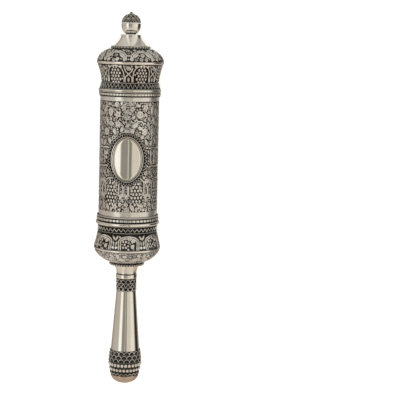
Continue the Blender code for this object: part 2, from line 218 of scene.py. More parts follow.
class Shell:
    # gathers the mesh of one piece, with a recess value at each vertex for the tarnish and for painted shade
    def __init__(self):
        self.spots, self.recess, self.quads, self.tris, self.count = [], [], [], [], 0

    def points(self, spots, recess):
        spots = np.asarray(spots, float).reshape(-1, 3)
        self.spots.append(spots)
        self.recess.append(np.broadcast_to(np.asarray(recess, float), spots.shape[:1]).ravel())
        self.count += len(spots)
        return self.count - len(spots)

    def grid(self, spots, recess, wrapRows):
        # rows and columns of points, facing out where rows run down the case and columns round it
        rows, columns = spots.shape[:2]
        start = self.points(spots, np.broadcast_to(recess, (rows, columns)).ravel())
        index = start + np.arange(rows * columns).reshape(rows, columns)
        index = np.vstack([index, index[:1]]) if wrapRows else index
        index = np.hstack([index, index[:, :1]])
        corners = [index[:-1, :-1], index[1:, :-1], index[1:, 1:], index[:-1, 1:]]
        self.quads.append(np.stack(corners, -1).reshape(-1, 4))
        return start

    def fan(self, first, columns, spot, recess, isFirst):
        # closes the first or the last row of a grid with triangles to one spot
        centre = self.points([spot], recess)
        ring = first + np.arange(columns)
        after = np.roll(ring, -1)
        pair = (ring, after) if isFirst else (after, ring)
        self.tris.append(np.stack([np.full(columns, centre), *pair], -1))

    def sheet(self, spots, recess):
        # a closed skin whose first and last rows are each one spot
        recess = np.broadcast_to(recess, spots.shape[:2])
        rows, columns = spots.shape[0] - 2, spots.shape[1]
        start = self.grid(spots[1:-1], recess[1:-1], False)
        self.fan(start, columns, spots[0, 0], recess[0, 0], True)
        self.fan(start + (rows - 1) * columns, columns, spots[-1, 0], recess[-1, 0], False)

    def turned(self, outline, columns, lift=0.0, recess=0.0):
        # a turned form; its outline runs down the outer side, round, or from the axis to the axis
        radii, stations = np.array(outline, float).T
        isRound = radii[0] > 0
        if isRound:
            along = [np.roll(line, -1) - np.roll(line, 1) for line in (radii, stations)]
        else:
            along = [np.gradient(line) for line in (radii, stations)]
        size = np.maximum(np.hypot(*along), 1e-9)
        out = radii[:, None] + (along[1] / size)[:, None] * lift
        down = stations[:, None] - (along[0] / size)[:, None] * lift
        turn = np.arange(columns) * fullTurn / columns
        spots = toWorld(turn[None], down, out)
        if isRound:
            self.grid(spots, recess, True)
        else:
            self.sheet(spots, recess)

    def beads(self, angles, station, out, size, recess, around=10, rings=7):
        # round beads, each with half its length round the case, down it and out of it
        lat = np.linspace(0, math.pi, rings + 1)[:, None]
        lon = np.arange(around) * fullTurn / around
        local = [np.sin(lat) * np.cos(lon), np.sin(lat) * np.sin(lon), np.cos(lat) + 0 * lon]
        local = np.stack(local, -1)
        shade = recess[0] + (recess[1] - recess[0]) * np.clip(beadClean - local[..., 2], 0, 1)
        for angle in np.atleast_1d(angles):
            down = np.array([0, -1, 0]) * size[1]
            across = np.array([math.cos(angle), 0, -math.sin(angle)]) * size[0]
            outward = np.array([math.sin(angle), 0, math.cos(angle)]) * size[2]
            placed = toWorld(angle, station, out) + local @ np.stack([down, across, outward]) / 1000
            self.sheet(placed, shade)

    def wire(self, path, thickness, sides, recess):
        # a closed wire along a path of (angle, station, out) on the case
        angle, station, out = np.array(path, float).T
        spots = toWorld(angle, station, out)
        ahead = np.roll(spots, -1, 0) - np.roll(spots, 1, 0)
        ahead /= np.linalg.norm(ahead, axis=1)[:, None]
        outward = np.stack([np.sin(angle), 0 * angle, np.cos(angle)], -1)
        side = np.cross(ahead, outward)
        side /= np.linalg.norm(side, axis=1)[:, None]
        outward = np.cross(side, ahead)
        turn = np.arange(sides) * fullTurn / sides
        across, up = np.cos(turn)[None, :, None], np.sin(turn)[None, :, None]
        skin = spots[:, None] + (side[:, None] * across + outward[:, None] * up) * thickness / 1000
        shade = recess[0] + (recess[1] - recess[0]) * np.clip(wireClean - np.sin(turn), 0, 1)
        self.grid(skin, shade[None], True)

    def piece(self, name, finish, isCarved=False):
        # makes the object that stands for the CAD node of the same name
        spots = np.concatenate(self.spots)
        quads = np.concatenate(self.quads)
        tris = np.concatenate(self.tris) if self.tris else np.zeros((0, 3), int)
        mesh = bpy.data.meshes.new(name + "_mesh")
        mesh.vertices.add(len(spots))
        mesh.vertices.foreach_set("co", spots.astype(np.float32).ravel())
        mesh.loops.add(quads.size + tris.size)
        corners = np.concatenate([quads.ravel(), tris.ravel()])
        mesh.loops.foreach_set("vertex_index", corners.astype(np.int32))
        mesh.polygons.add(len(quads) + len(tris))
        starts = np.concatenate([np.arange(len(quads)) * 4, quads.size + np.arange(len(tris)) * 3])
        mesh.polygons.foreach_set("loop_start", starts.astype(np.int32))
        mesh.update(calc_edges=True)
        mesh.validate()
        shade = mesh.attributes.new("recess", "FLOAT", "POINT")
        shade.data.foreach_set("value", np.concatenate(self.recess).astype(np.float32))
        mesh.shade_smooth()
        if not isCarved:
            mesh.set_sharp_from_angle(angle=sharpAngle)
        mesh.materials.append(finishes[finish])
        obj = bpy.data.objects.new(name + "_silver", mesh)
        bpy.context.scene.collection.objects.link(obj)
        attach(obj, "root")
        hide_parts(name)
        print(name, len(quads) * 2 + len(tris), "triangles")


def eased(points, radius, steps=4, sideShare=0.45):
    # an outline with its corners rounded, over at most that share of a side; points on the axis stay
    points = [np.array(p, float) for p in points]
    outline = []
    for i, spot in enumerate(points):
        if spot[0] == 0:
            outline.append(spot)
            continue
        back, ahead = points[i - 1] - spot, points[(i + 1) % len(points)] - spot
        backLength, aheadLength = max(np.hypot(*back), 1e-9), max(np.hypot(*ahead), 1e-9)
        reach = min(radius, backLength * sideShare, aheadLength * sideShare)
        first, last = spot + back / backLength * reach, spot + ahead / aheadLength * reach
        for share in np.linspace(0, 1, steps):
            outline.append((1 - share) ** 2 * first + 2 * share * (1 - share) * spot + share**2 * last)
    return outline


def sunk(outline, face, depth):
    # tarnish for a turned outline: none on the outer face, full where it lies deep below it
    return np.clip((face - np.array(outline)[:, :1]) / depth, 0, 1)


def hoopPath(station, out, count):
    angle = np.arange(count) * fullTurn / count
    return np.stack([angle, station + 0 * angle, out + 0 * angle], -1)


def zigzagPath(teeth, top, bottom, topOut, bottomOut, phase=0.0, steps=4):
    # swings between two stations, with straight sides
    turn = np.arange(teeth * 2 * steps) / (2 * steps)
    share = abs((turn % 1) * 2 - 1)
    angle = (turn + phase) * fullTurn / teeth
    return np.stack([angle, top + (bottom - top) * share, topOut + (bottomOut - topOut) * share], -1)


def archPath(cells, foot, height, footOut, topOut, phase=0.0, steps=8):
    # a row of arches, or of hanging scallops where the height is negative
    psi = np.arange(steps) * math.pi / steps
    cell = np.arange(cells)[:, None]
    angle = (cell + phase + 0.5 - 0.5 * np.cos(psi)) * fullTurn / cells
    rise = np.sin(psi) + 0 * angle
    return np.stack([angle, foot - height * rise, footOut + (topOut - footOut) * rise], -1).reshape(-1, 3)


oxideLook = {
    "softness": 0.5, "cavity": 1.6, "cavityShare": 0.6, "groundFrom": 1.3, "groundDepth": 0.4, "overall": 0.5,
}
# how bare ground is filled: jitter, clear space and reach are shares of a motif's size, and
# flowers, leaves and hooks need more than the three sizes in "from"
fillLook = {
    "jitter": 0.3, "clear": 0.98, "reach": 1.2, "bare": 0.05, "kinds": 5, "from": (1.8, 1.3, 1.0),
    "turns": 1.25, "petals": 8, "hookTurns": 0.6, "hookLine": 0.8, "slim": 0.5,
}


class Relief:
    # a height map wrapped round the case: rows run down it, columns run round it
    def __init__(self, radii, along, columns):
        self.radii, self.along = np.array(radii, float), np.array(along, float)
        self.angles = np.arange(columns) * fullTurn / columns
        self.height = np.zeros((len(self.along), columns))
        self.pitch = self.radii.mean() * fullTurn / columns

    def patch(self, angle, along, reach):
        rows = np.where(abs(self.along - along) < reach)[0]
        turn = (self.angles - angle + math.pi) % fullTurn - math.pi
        columns = np.where(abs(turn) * self.radii.mean() < reach)[0]
        across = turn[columns][None] * self.radii[rows][:, None]
        down = (self.along[rows] - along)[:, None] + 0 * across
        return np.ix_(rows, columns), across, down

    def stamp(self, angle, along, reach, motif, turn=0.0, hand=1):
        where, across, down = self.patch(angle, along, reach)
        x = hand * (across * math.cos(turn) + down * math.sin(turn))
        y = down * math.cos(turn) - across * math.sin(turn)
        self.height[where] = np.maximum(self.height[where], motif(x, y))

    def isFree(self, angle, along, reach):
        where, across, down = self.patch(angle, along, reach)
        return bool((self.height[where][np.hypot(across, down) < reach] < fillLook["bare"]).all())

    def blurred(self, spread):
        # the height softened over that many millimetres
        size = spread / self.pitch
        shifts = np.arange(-int(2 * size) - 1, int(2 * size) + 2)
        weights = np.exp(-0.5 * (shifts / size) ** 2)
        weights /= weights.sum()
        rounded = sum(w * np.roll(self.height, k, 1) for k, w in zip(shifts, weights))
        edge = len(shifts)
        padded = np.pad(rounded, ((edge, edge), (0, 0)), mode="edge")
        return sum(w * np.roll(padded, k, 0) for k, w in zip(shifts, weights))[edge:-edge]

    def tarnish(self, depth, dull):
        # oxide fills the bare ground and the feet of steep forms, high points are rubbed bright
        look = oxideLook
        cavity = np.clip((self.blurred(look["softness"]) - self.height) / depth * look["cavity"], 0, 1)
        ground = np.clip(look["groundFrom"] - self.height / (look["groundDepth"] * depth), 0, 1)
        low = np.clip(1 - self.height / depth, 0, 1)
        return np.clip(ground + look["cavityShare"] * cavity + dull * (look["overall"] + low), 0, 1)

    def fill(self, top, bottom, depth, sizes, line, gap):
        # small flowers, leaves, scrolls and dots wherever the ground is still bare
        jitter = fillLook["jitter"]
        for size in sizes:
            for along in np.arange(top + size, bottom - size, size):
                for angle in np.arange(0, fullTurn, size / self.radii.mean()):
                    spot = (angle + rng.uniform(-jitter, jitter) * size / self.radii.mean(),
                            along + rng.uniform(-jitter, jitter) * size)
                    if not self.isFree(*spot, size * fillLook["clear"]):
                        continue
                    kind, turn = rng.integers(fillLook["kinds"]), rng.uniform(0, fullTurn)
                    motif = fillMotif(kind, size, size - gap, line, depth)
                    self.stamp(*spot, size * fillLook["reach"], motif, turn)


def fillMotif(kind, size, half, line, depth):
    # what goes on a bare spot of that size; half is the motif's own half length
    flowerFrom, leafFrom, hookFrom = fillLook["from"]
    if size > leafFrom and kind == 0:
        return curl(half, fillLook["turns"], line, depth)
    if size > leafFrom and kind == 2:
        return vineLeaf(half, depth)
    if size > flowerFrom and kind == 3:
        return rosette(half, fillLook["petals"], depth)
    if size > leafFrom and kind in (1, 3):
        return scroll(half, line, depth)
    if size > hookFrom and kind < 3:
        return curl(half, fillLook["hookTurns"], line * fillLook["hookLine"], depth)
    if size > hookFrom:
        return almond(half, half * fillLook["slim"], depth)
    return dot(half, depth)


def dome(distance, radius, depth):
    return depth * np.sqrt(np.clip(1 - (distance / radius) ** 2, 0, None))


def dot(radius, depth):
    return lambda x, y: dome(np.hypot(x, y), radius, depth)


def grapes(counts, across, down, grape, depth, squash=0.8):
    # a bunch: so many long grapes in each row from the top, apart from each other on dark ground
    spots = []
    for row, count in enumerate(counts):
        y = (row - (len(counts) - 1) / 2) * down
        spots += [((k - (count - 1) / 2) * across, y) for k in range(count)]

    def motif(x, y):
        grapeShares = [np.hypot(x - a, (y - b) * squash) / grape for a, b in spots]
        return np.maximum.reduce([dome(share, 1, depth) for share in grapeShares])

    return motif


def flatTop(share, depth, steepness=9):
    # a form that is nearly flat on top and falls away steeply at its edge
    return depth * np.clip(1 - np.clip(share, 0, 1) ** steepness, 0, None) ** 0.5


# widths in millimetres; the rest are shares of a motif's size or of the relief's depth
leafLook = {
    "lobes": 5, "body": 0.70, "lobe": 0.22, "tooth": 0.05, "notch": 0.35, "notchWidth": 0.12,
    "vein": 0.85, "veinWidth": 0.26, "veinEnd": 0.85,
}
almondLook = {"vein": 0.85, "veinWidth": 0.24, "veinEnd": 0.8}
rosetteLook = {
    "body": 0.8, "petal": 0.2, "valley": 0.25, "ring": 0.9, "ringAt": 0.42, "ringWidth": 0.26,
}
veinFloor = 0.02  # millimetres that a vein leaves over the ground
farAway = 9  # millimetres, more than any motif's vein reaches


def vineLeaf(size, depth):
    # five lobes with a vein to each
    look, count = leafLook, leafLook["lobes"]

    def motif(x, y):
        far, turn = np.hypot(x, y), np.arctan2(x, -y)
        lobes = look["body"] + look["lobe"] * np.cos(count * turn) + look["tooth"] * np.cos(3 * count * turn)
        notch = look["notch"] * np.exp(-((abs(turn) - math.pi) ** 2) / look["notchWidth"])
        edge = size * lobes * (1 - notch)
        share = far / edge
        body = flatTop(share, depth)
        for k in range(count):
            off = turn - (k - count // 2) * fullTurn / count
            line = abs(far * np.sin(off)) + farAway * (np.cos(off) < 0)
            vein = np.exp(-((line / look["veinWidth"]) ** 2)) * (share < look["veinEnd"])
            body = body - look["vein"] * depth * vein
        return np.where(share < 1, np.clip(body, veinFloor, None), 0)

    return motif


def almond(length, width, depth):
    # a plain pointed leaf with a midrib
    look = almondLook

    def motif(x, y):
        share = abs(x) / (width * np.clip(1 - (y / length) ** 2, 0.001, None))
        vein = look["vein"] * np.exp(-((x / look["veinWidth"]) ** 2)) * (abs(y) < look["veinEnd"] * length)
        body = flatTop(share, depth) - depth * vein
        return np.where((share < 1) & (abs(y) < length), np.clip(body, veinFloor, None), 0)

    return motif


def rosette(size, petals, depth):
    # a round flower head: petals round a ringed centre
    look = rosetteLook

    def motif(x, y):
        far, turn = np.hypot(x, y), np.arctan2(x, -y)
        wave = abs(np.cos(petals * turn / 2))
        edge = size * (look["body"] + look["petal"] * wave)
        petal = look["valley"] + (1 - look["valley"]) * np.clip(wave * 2, 0, 1)
        groove = look["ring"] * np.exp(-(((far - look["ringAt"] * size) / look["ringWidth"]) ** 2))
        return np.where(far < edge, flatTop(far / edge, depth) * petal * (1 - groove), 0)

    return motif


def ridge(path, width, depth):
    # a raised stem along a path
    path = np.array(path, float)

    def motif(x, y):
        nearest = np.full(np.shape(x), 99.0)
        for (ax, ay), (bx, by) in zip(path[:-1], path[1:]):
            dx, dy = bx - ax, by - ay
            share = np.clip(((x - ax) * dx + (y - ay) * dy) / max(dx * dx + dy * dy, 1e-9), 0, 1)
            nearest = np.minimum(nearest, np.hypot(x - ax - share * dx, y - ay - share * dy))
        return dome(nearest, width, depth)

    return motif


def curl(radius, turns, width, depth, winding=0.82, steps=22):
    # a scroll that winds in from its own edge, by that share of its radius
    share = np.linspace(0, 1, steps)
    turn, far = share * turns * fullTurn, radius * (1 - winding * share)
    return ridge(np.stack([far * np.cos(turn), far * np.sin(turn)], -1), width, depth)


def scroll(size, width, depth, swing=0.55, steps=11):
    # a stem that bends one way and then the other
    share = np.linspace(-1, 1, steps)
    return ridge(np.stack([swing * size * np.sin(share * math.pi), size * share], -1), width, depth)


def bow(width, height, leg, steps=14):
    # points of an arch with straight legs
    turn = np.linspace(0, math.pi, steps)
    arch = np.stack([-width * np.cos(turn), -height * np.sin(turn)], -1)
    return np.concatenate([[(-width, leg)], arch, [(width, leg)]])


# Finial
start, end, radius = span("finial_point")
shell = Shell()
tip = [(0, start), (0.45, start + 0.25), (1.1, start + 0.85), (2.2, start + 1.45), (2.2, end), (0, end)]
shell.turned(eased(tip, 0.15), 24, recess=0.97)
shell.piece("finial_point", "dark_filigree")

capLook = {"ball": 7.9, "ground": 0.42, "wire": 0.17, "cells": 11, "shade": (0.0, 0.6)}
start, end, radius = span("finial_cap")


def capOut(station):
    return np.sqrt(np.clip(capLook["ball"] ** 2 - (end - station) ** 2, 0.01, None))


shell = Shell()
turns = math.pi / 2 * (1 - np.linspace(0.03, 1, 28))
inside = capLook["ball"] - capLook["ground"]
skin = [(0, end - inside)]
skin += [(inside * math.cos(a), end - inside * math.sin(a)) for a in turns] + [(0, end)]
shell.turned(skin, 88, recess=1.0)
cells = capLook["cells"]
for drop, thick in ((0.3, 0.24), (3.4, 0.15), (6.2, 0.15)):
    shell.wire(hoopPath(end - drop, capOut(end - drop) - 0.1, 88), thick, 6, capLook["shade"])
for drop, low, phase in ((3.3, 0.6, 0.0), (6.1, 3.5, 0.5)):
    path = zigzagPath(cells, end - drop, end - low, 0, 0, phase)
    path[:, 2] = capOut(path[:, 1]) - 0.12
    shell.wire(path, capLook["wire"], 6, capLook["shade"])
for drop, phase, size in ((1.5, 0.5, 0.42), (2.5, 0.0, 0.34), (4.5, 0.0, 0.36), (6.75, 0.5, 0.26)):
    angles = (np.arange(cells) + phase) * fullTurn / cells
    shell.beads(angles, end - drop, capOut(end - drop) - 0.2, (size, size, size), (0.0, 0.8), 8, 5)
shell.piece("finial_cap", "dark_filigree")

cupLook = {"curve": 9.0, "fullness": 2.5, "depth": 7.8, "foot": 4.2}
start, end, radius = span("finial_cup")
shell = Shell()
skin = [(0, start), (radius - 0.25, start)]
for share in np.linspace(0.02, 1, 24):
    fall = (share * cupLook["depth"] / cupLook["curve"]) ** cupLook["fullness"]
    skin.append((radius * (1 - fall) ** (1 / cupLook["fullness"]), start + share * cupLook["depth"]))
cupEnd = start + cupLook["depth"]
foot = cupLook["foot"]
skin += [(foot + 0.5, cupEnd + 0.02), (foot, cupEnd + 0.2), (foot, end - 0.25), (foot - 0.25, end), (0, end)]
# painted shadow: the cup's narrow foot under its overhang is set almost fully dark (0.95)
dark = np.array([[0.0 if station < cupEnd - 0.35 else 0.95] for _, station in skin])
shell.turned(skin, 96, recess=dark)
shell.piece("finial_cup", "polished_silver")
print("finial ready")

# The bell under the finial
neckLook = {"lip": 7.9, "lipHeight": 1.5, "hem": 2.0, "flare": 1.5, "wall": 1.0}
start, end, radius = span("crown_neck")
shell = Shell()
lipEnd, hemTop = start + neckLook["lipHeight"], end - neckLook["hem"]
flare = []
for share in np.linspace(0, 1, 14):
    flare.append((neckLook["lip"] + (radius - neckLook["lip"]) * share ** neckLook["flare"],
                  lipEnd + (hemTop - lipEnd) * share))
lip, wall = neckLook["lip"], neckLook["wall"]
skin = [(0, start), (lip - 0.5, start), (lip - 0.12, start + 0.12), (lip, start + 0.5)] + flare
skin += [(radius, end - 0.3), (radius - 0.3, end), (radius - wall, end)]
skin += [(r - wall, t) for r, t in reversed(flare)] + [(lip - wall, start + wall), (0, start + wall)]
shell.turned(skin, 112)
shell.piece("crown_neck", "soft_silver")


def ropeRing(node, look):
    # a beaded wire on a dark core, soldered to the crown's edge and to the bell inside it; the seat that
    # fills the gap behind the ring is painted dark as the shade in that gap
    start, end, radius = span(node)
    middle = (start + end) / 2
    circle = radius - (end - start) / 2
    low, high = sorted((middle, look["edge"]))
    shell = Shell()
    seat = [(look["bell"], low), (circle, low), (circle, high), (look["bell"], high)]
    # painted shade: the seat between the bell, the ring and the crown's edge is set fully dark
    shell.turned(seat, 120, recess=1.0)
    shell.wire(hoopPath(middle, circle, 120), look["core"], 8, (0.9, 1.0))
    angles = (np.arange(look["count"]) + look["phase"]) * fullTurn / look["count"]
    shell.beads(angles, middle, circle, look["bead"], (0.0, 1.0))
    shell.piece(node, "beaded_silver")


solderGap = 0.05
ropeRing("crown_rope_ring", {
    "core": 1.0, "count": 38, "phase": 0.5, "bead": (0.62, 1.05, 1.15),
    "edge": span("crown")[0] - solderGap, "bell": span("crown_neck")[2] + solderGap,
})
ropeRing("base_rope_ring", {
    "core": 0.85, "count": 40, "phase": 0.5, "bead": (0.55, 0.95, 1.12),
    "edge": span("base_crown")[1] + solderGap, "bell": span("base_neck")[2] + solderGap,
})


def crownRows(look):
    # the outer side of a crown as (radius, distance from its widest line), top of the dome first
    widest = look["widest"]
    curve = look["dome"] / math.sqrt(1 - (look["flat"] / widest) ** 2)
    above = np.arange(-look["dome"], 0, look["domePitch"])
    rows = [(widest * math.sqrt(1 - (d / curve) ** 2), d) for d in above]
    for distance in np.arange(0, look["waist"], look["waistPitch"]):
        lean = (1 - distance / look["waist"]) ** look["lean"]
        rows.append((look["neck"] + (widest - look["neck"]) * lean, distance))
    return rows


def lidWaist(relief, angle, middle, sector, look):
    # a bunch of grapes under an arch, and a crossed scroll between two arches
    depth, line = look["depth"], look["line"]
    relief.stamp(angle, middle + 0.9, 9, grapes(*look["bunch"], depth))
    relief.stamp(angle, middle, 12, ridge(bow(6.9, 6.6, 6.6), line, depth))
    between = angle + sector / 2
    relief.stamp(between, middle - 4.4, 4, curl(1.9, 1.3, line, depth))
    for hand in (-1, 1):
        path = [(3.3 * hand, -4.4), (2.4 * hand, -1.8), (-2.6 * hand, 3.0), (-2.6 * hand, 6.6)]
        relief.stamp(between, middle, 9, ridge(path, line, depth))
        relief.stamp(angle + hand * 0.2, middle - 5.6, 3, curl(1.1, 1.1, line, depth), 1.2, hand)
    relief.stamp(between, middle + 5.0, 4, almond(1.9, 0.7, depth))


def baseWaist(relief, angle, middle, sector, look):
    # a tall double arch over scrolls and a few grapes, and a fan of leaves between two arches
    depth, line = look["depth"], look["line"]
    arch, legs = bow(8.4, 4.4, 6.2) * [1, -1], bow(6.8, 2.9, 6.2) * [1, -1]
    relief.stamp(angle, middle + 0.4, 13, ridge(arch, line, depth))
    relief.stamp(angle, middle + 0.4, 13, ridge(legs, line, depth))
    relief.stamp(angle - 0.13, middle - 0.4, 7, grapes(*look["bunch"], depth))
    for u, s, hand in ((3.2, -3.4, 1), (4.0, 1.2, -1), (0.6, 3.0, 1)):
        relief.stamp(angle + u / 26, middle + s, 4, curl(1.6, 1.3, line, depth), 0.8, hand)
    between = angle + sector / 2
    for hand in (-1, 1):
        relief.stamp(between + hand * 0.05, middle + 3.6, 4, almond(2.4, 0.7, depth), -hand * 0.6)
        relief.stamp(between + hand * 0.045, middle - 0.8, 4, almond(2.2, 0.55, depth), -hand * 0.2)
        relief.stamp(between + hand * 0.05, middle - 4.4, 4, curl(1.0, 1.1, line, depth), 0, hand)


def crownRelief(rows, look, isBase):
    # arches round the waist, chased leaves and scrolls over the dome, a plain line between them
    rows = np.array(rows)
    along = np.concatenate([[0], np.cumsum(np.hypot(*np.diff(rows, axis=0).T))])
    relief = Relief(rows[:, 0], along, look["columns"])
    depth, half, bandAt, line = look["depth"], look["band"] / 2, look["bandAt"], look["line"]
    domeEnd = along[np.searchsorted(rows[:, 1], bandAt - half)] - look["margin"]
    waistTop = along[np.searchsorted(rows[:, 1], bandAt + half)] + look["margin"]
    waistEnd = along[-1] - look["hem"]
    middle = (waistTop + waistEnd) / 2
    sector = fullTurn / look["sectors"]
    for k in range(look["sectors"]):
        stampWaist = baseWaist if isBase else lidWaist
        stampWaist(relief, look["phase"] + k * sector, middle, sector, look)
    relief.fill(waistTop, waistEnd, depth, look["waistFill"], line, look["gap"])
    waistRows = relief.along > waistTop - 0.4
    for k in range(look["sectors"] * 2):
        angle = look["phase"] + (k + 0.5) * sector / 2
        hand = 1 if k % 2 else -1
        size, leafAt = look["domeLeaf"], domeEnd * 0.56
        relief.stamp(angle, leafAt, size * 1.4, almond(size, size * 0.42, depth), hand * 0.75)
        relief.stamp(angle + hand * 0.16, domeEnd * 0.24, 3, curl(1.8, 1.35, 0.45, depth), 0, hand)
        relief.stamp(angle - hand * 0.12, domeEnd * 0.84, 3, curl(1.6, 1.3, 0.45, depth), 2, -hand)
        sweep = [(-4 * hand, 4.5), (-3.2 * hand, 0), (-0.5 * hand, -3.4), (3.4 * hand, -4.6)]
        relief.stamp(angle, leafAt, 7, ridge(sweep, look["domeLine"], depth))
    relief.fill(look["domeFrom"], domeEnd, depth, look["domeFill"], look["domeLine"], look["gap"] * 0.8)
    tarnish = relief.tarnish(depth, look["dull"])
    tarnish[~waistRows] = relief.tarnish(depth, look["domeDull"])[~waistRows] * look["domeDark"]
    plainBand = abs(rows[:, 1] - bandAt) <= half
    relief.height[plainBand] = depth
    tarnish[plainBand] = 0
    lift = relief.height - look["ground"]
    lift[:2] *= look["endShare"]
    lift[-2:] *= look["endShare"]
    return lift, tarnish


crownLook = {
    "widest": 27.0, "dome": 10.6, "flat": 17.7, "band": 2.0, "bandAt": 0.2, "waist": 15.7, "neck": 23.1,
    "lean": 1.8, "seat": 22.35, "wall": 1.0, "columns": 512, "domePitch": 0.2, "waistPitch": 0.33,
    "depth": 0.42, "ground": 0.25, "line": 0.32, "gap": 0.45, "dull": 0.06, "sectors": 7,
    "phase": fullTurn / 14, "bunch": ((2, 3, 4, 3, 4, 3), 2.55, 2.45, 0.78), "waistFill": (1.6, 1.15),
    "domeLeaf": 4.0, "domeFill": (2.4, 1.9, 1.4, 1.0), "domeDark": 1.0, "domeDull": 0.34,
    "domeFrom": 0.5, "domeLine": 0.5, "margin": 0.3, "hem": 0.2, "endShare": 0.3, "chamfer": 0.3,
    "hidden": 0.6,
}
baseLook = {
    **crownLook, "dome": 13.4, "flat": 13.65, "band": 1.4, "bandAt": -1.6, "waist": 12.7, "neck": 24.1,
    "lean": 1.35, "phase": math.radians(6.4), "bunch": ((2, 1, 2, 1), 2.3, 2.3, 0.75),
    "dull": 0.04, "line": 0.42, "waistFill": (1.7, 1.2), "domeFill": (1.9, 1.5, 1.1, 0.9),
    "domeDark": 0.92, "domeDull": 0.22,
}


def makeCrown(node, look, isBase):
    start, end, radius = span(node)
    middle = end - look["dome"] if isBase else start + look["dome"]
    tip = start if isBase else end  # where the spigot inside the tube ends
    rows = crownRows(look)
    lift, tarnish = crownRelief(rows, look, isBase)
    sign = -1 if isBase else 1
    outer = [(r, middle + sign * d) for r, d in rows]
    wall, seat, waistEnd = look["wall"], look["seat"], middle + sign * look["waist"]
    near, far = waistEnd + sign * look["chamfer"], tip - sign * look["chamfer"]
    spigot = [(seat + 0.01, waistEnd), (seat, near), (seat, far), (seat - 0.2, tip)]
    spigot += [(seat - wall + 0.2, tip), (seat - wall, far), (seat - wall, waistEnd - sign * wall)]
    inner = [(r - wall * 1.4, middle + sign * d) for r, d in rows[::-12] if d > -look["dome"] + 2.2]
    roof = middle - sign * (look["dome"] - wall * 1.4)
    inner += [(look["flat"] - 1.5, roof), (0, roof)]
    top = [(0, middle - sign * look["dome"]), (look["flat"] - 0.4, middle - sign * look["dome"])]
    outline = top + outer + spigot + inner
    height = np.zeros((len(outline), look["columns"]))
    shade = np.full((len(outline), look["columns"]), look["hidden"])
    height[2 : 2 + len(outer)] = lift
    shade[2 : 2 + len(outer)] = tarnish
    if isBase:
        outline, height, shade = outline[::-1], height[::-1], shade[::-1]
    shell = Shell()
    shell.turned(outline, look["columns"], height, shade)
    shell.piece(node, "chased_silver", True)


makeCrown("crown", crownLook, False)
makeCrown("base_crown", baseLook, True)
print("crowns ready")


def zigzagBand(node, look):
    # a dark sleeve with a bright wire in zigzag between two wires
    start, end, radius = span(node)
    top, bottom = look["topRadius"], radius
    bore, sink = look["bore"], look["sink"]
    sleeve = [(bore, start), (top - sink, start), (bottom - sink, end), (bore, end)]
    shell = Shell()
    shell.turned(eased(sleeve, 0.1, 3), 160, recess=1.0)
    slope = (bottom - top) / (end - start)
    edge = look["hoop"]
    for station in (start + edge, end - edge):
        shell.wire(hoopPath(station, top + slope * (station - start) - 0.25, 160), edge, 8, (0.45, 1.0))
    first, last = start + look["margin"], end - look["margin"]
    outs = [top + slope * (station - start) - look["wire"] for station in (first, last)]
    for phase, dull in look["swings"]:
        path = zigzagPath(look["teeth"], first, last, *outs, phase)
        shell.wire(path, look["wire"], 6, (dull, 1.0))
    shell.piece(node, "dark_filigree")


zigzagLook = {
    "bore": 22.7, "topRadius": 23.25, "sink": 0.5, "hoop": 0.12, "wire": 0.17, "teeth": 44, "margin": 0.5,
    "swings": ((0.0, 0.15),),
}
zigzagBand("crown_zigzag_band", zigzagLook)
lowerSwing = {"topRadius": 24.25, "wire": 0.26, "margin": 1.2, "teeth": 41, "swings": ((0.0, 0.0),)}
zigzagBand("base_zigzag_band", {**zigzagLook, **lowerSwing})


def plainRim(node, finish, look):
    # a turned ring; its points are (inset, distance) from its upper edge, then from its lower one
    start, end, radius = span(node)
    skin = [(look["bore"], start)]
    skin += [(radius - inset, start + down) for inset, down in look["upper"]]
    skin += [(radius - inset, end - up) for inset, up in look["lower"]]
    skin = eased(skin + [(look["bore"], end)], look["ease"])
    shell = Shell()
    shell.turned(skin, look["columns"], recess=sunk(skin, radius - look["face"], look["fade"]))
    shell.piece(node, finish)


plainRim("lid_rim", "soft_silver", {
    "bore": 22.65, "ease": 0.25, "columns": 200, "face": 0.15, "fade": 0.2,
    "upper": ((0.5, 0), (0, 0.5), (0, 1.55), (0.45, 1.75), (0.45, 1.9), (0.1, 2.1)),
    "lower": ((0.1, 0.2), (0.3, 0)),
})
plainRim("base_rim", "polished_silver", {
    "bore": 22.65, "ease": 0.4, "columns": 200, "face": 0.7, "fade": 0.8,
    "upper": ((0.6, 0), (0, 0.5)), "lower": ((0, 0.9), (0.9, 0)),
})


def milledRing(node, look):
    # rings soldered on the tube: turned lines with a row of pressed segments between them
    start, end, radius = span(node)
    bore, face = 24.0, radius - 0.12
    skin = [(bore, start), (radius - 0.35, start)]
    for low, high, out in look["steps"]:
        skin += [(radius + out, start + low), (radius + out, start + high)]
    skin = np.array(eased(skin + [(radius - 0.35, end), (bore, end)], 0.16, 3))
    shade = np.repeat(sunk(skin, face, 0.3), look["columns"], 1)
    lift = np.zeros_like(shade)
    turn = np.arange(look["columns"]) / look["columns"]
    for low, high, count, depth in look["rows"]:
        station = skin[:, 1] - start
        rows = (station > low) & (station < high) & (skin[:, 0] > face - 0.3)
        cut = np.clip(1 - abs((turn * count) % 1 - 0.5) / look["cut"], 0, 1)
        lift[rows] -= depth * cut
        shade[rows] = np.maximum(shade[rows], cut * look["cutDark"])
    shell = Shell()
    shell.turned(skin, look["columns"], lift, shade)
    shell.piece(node, "soft_silver")


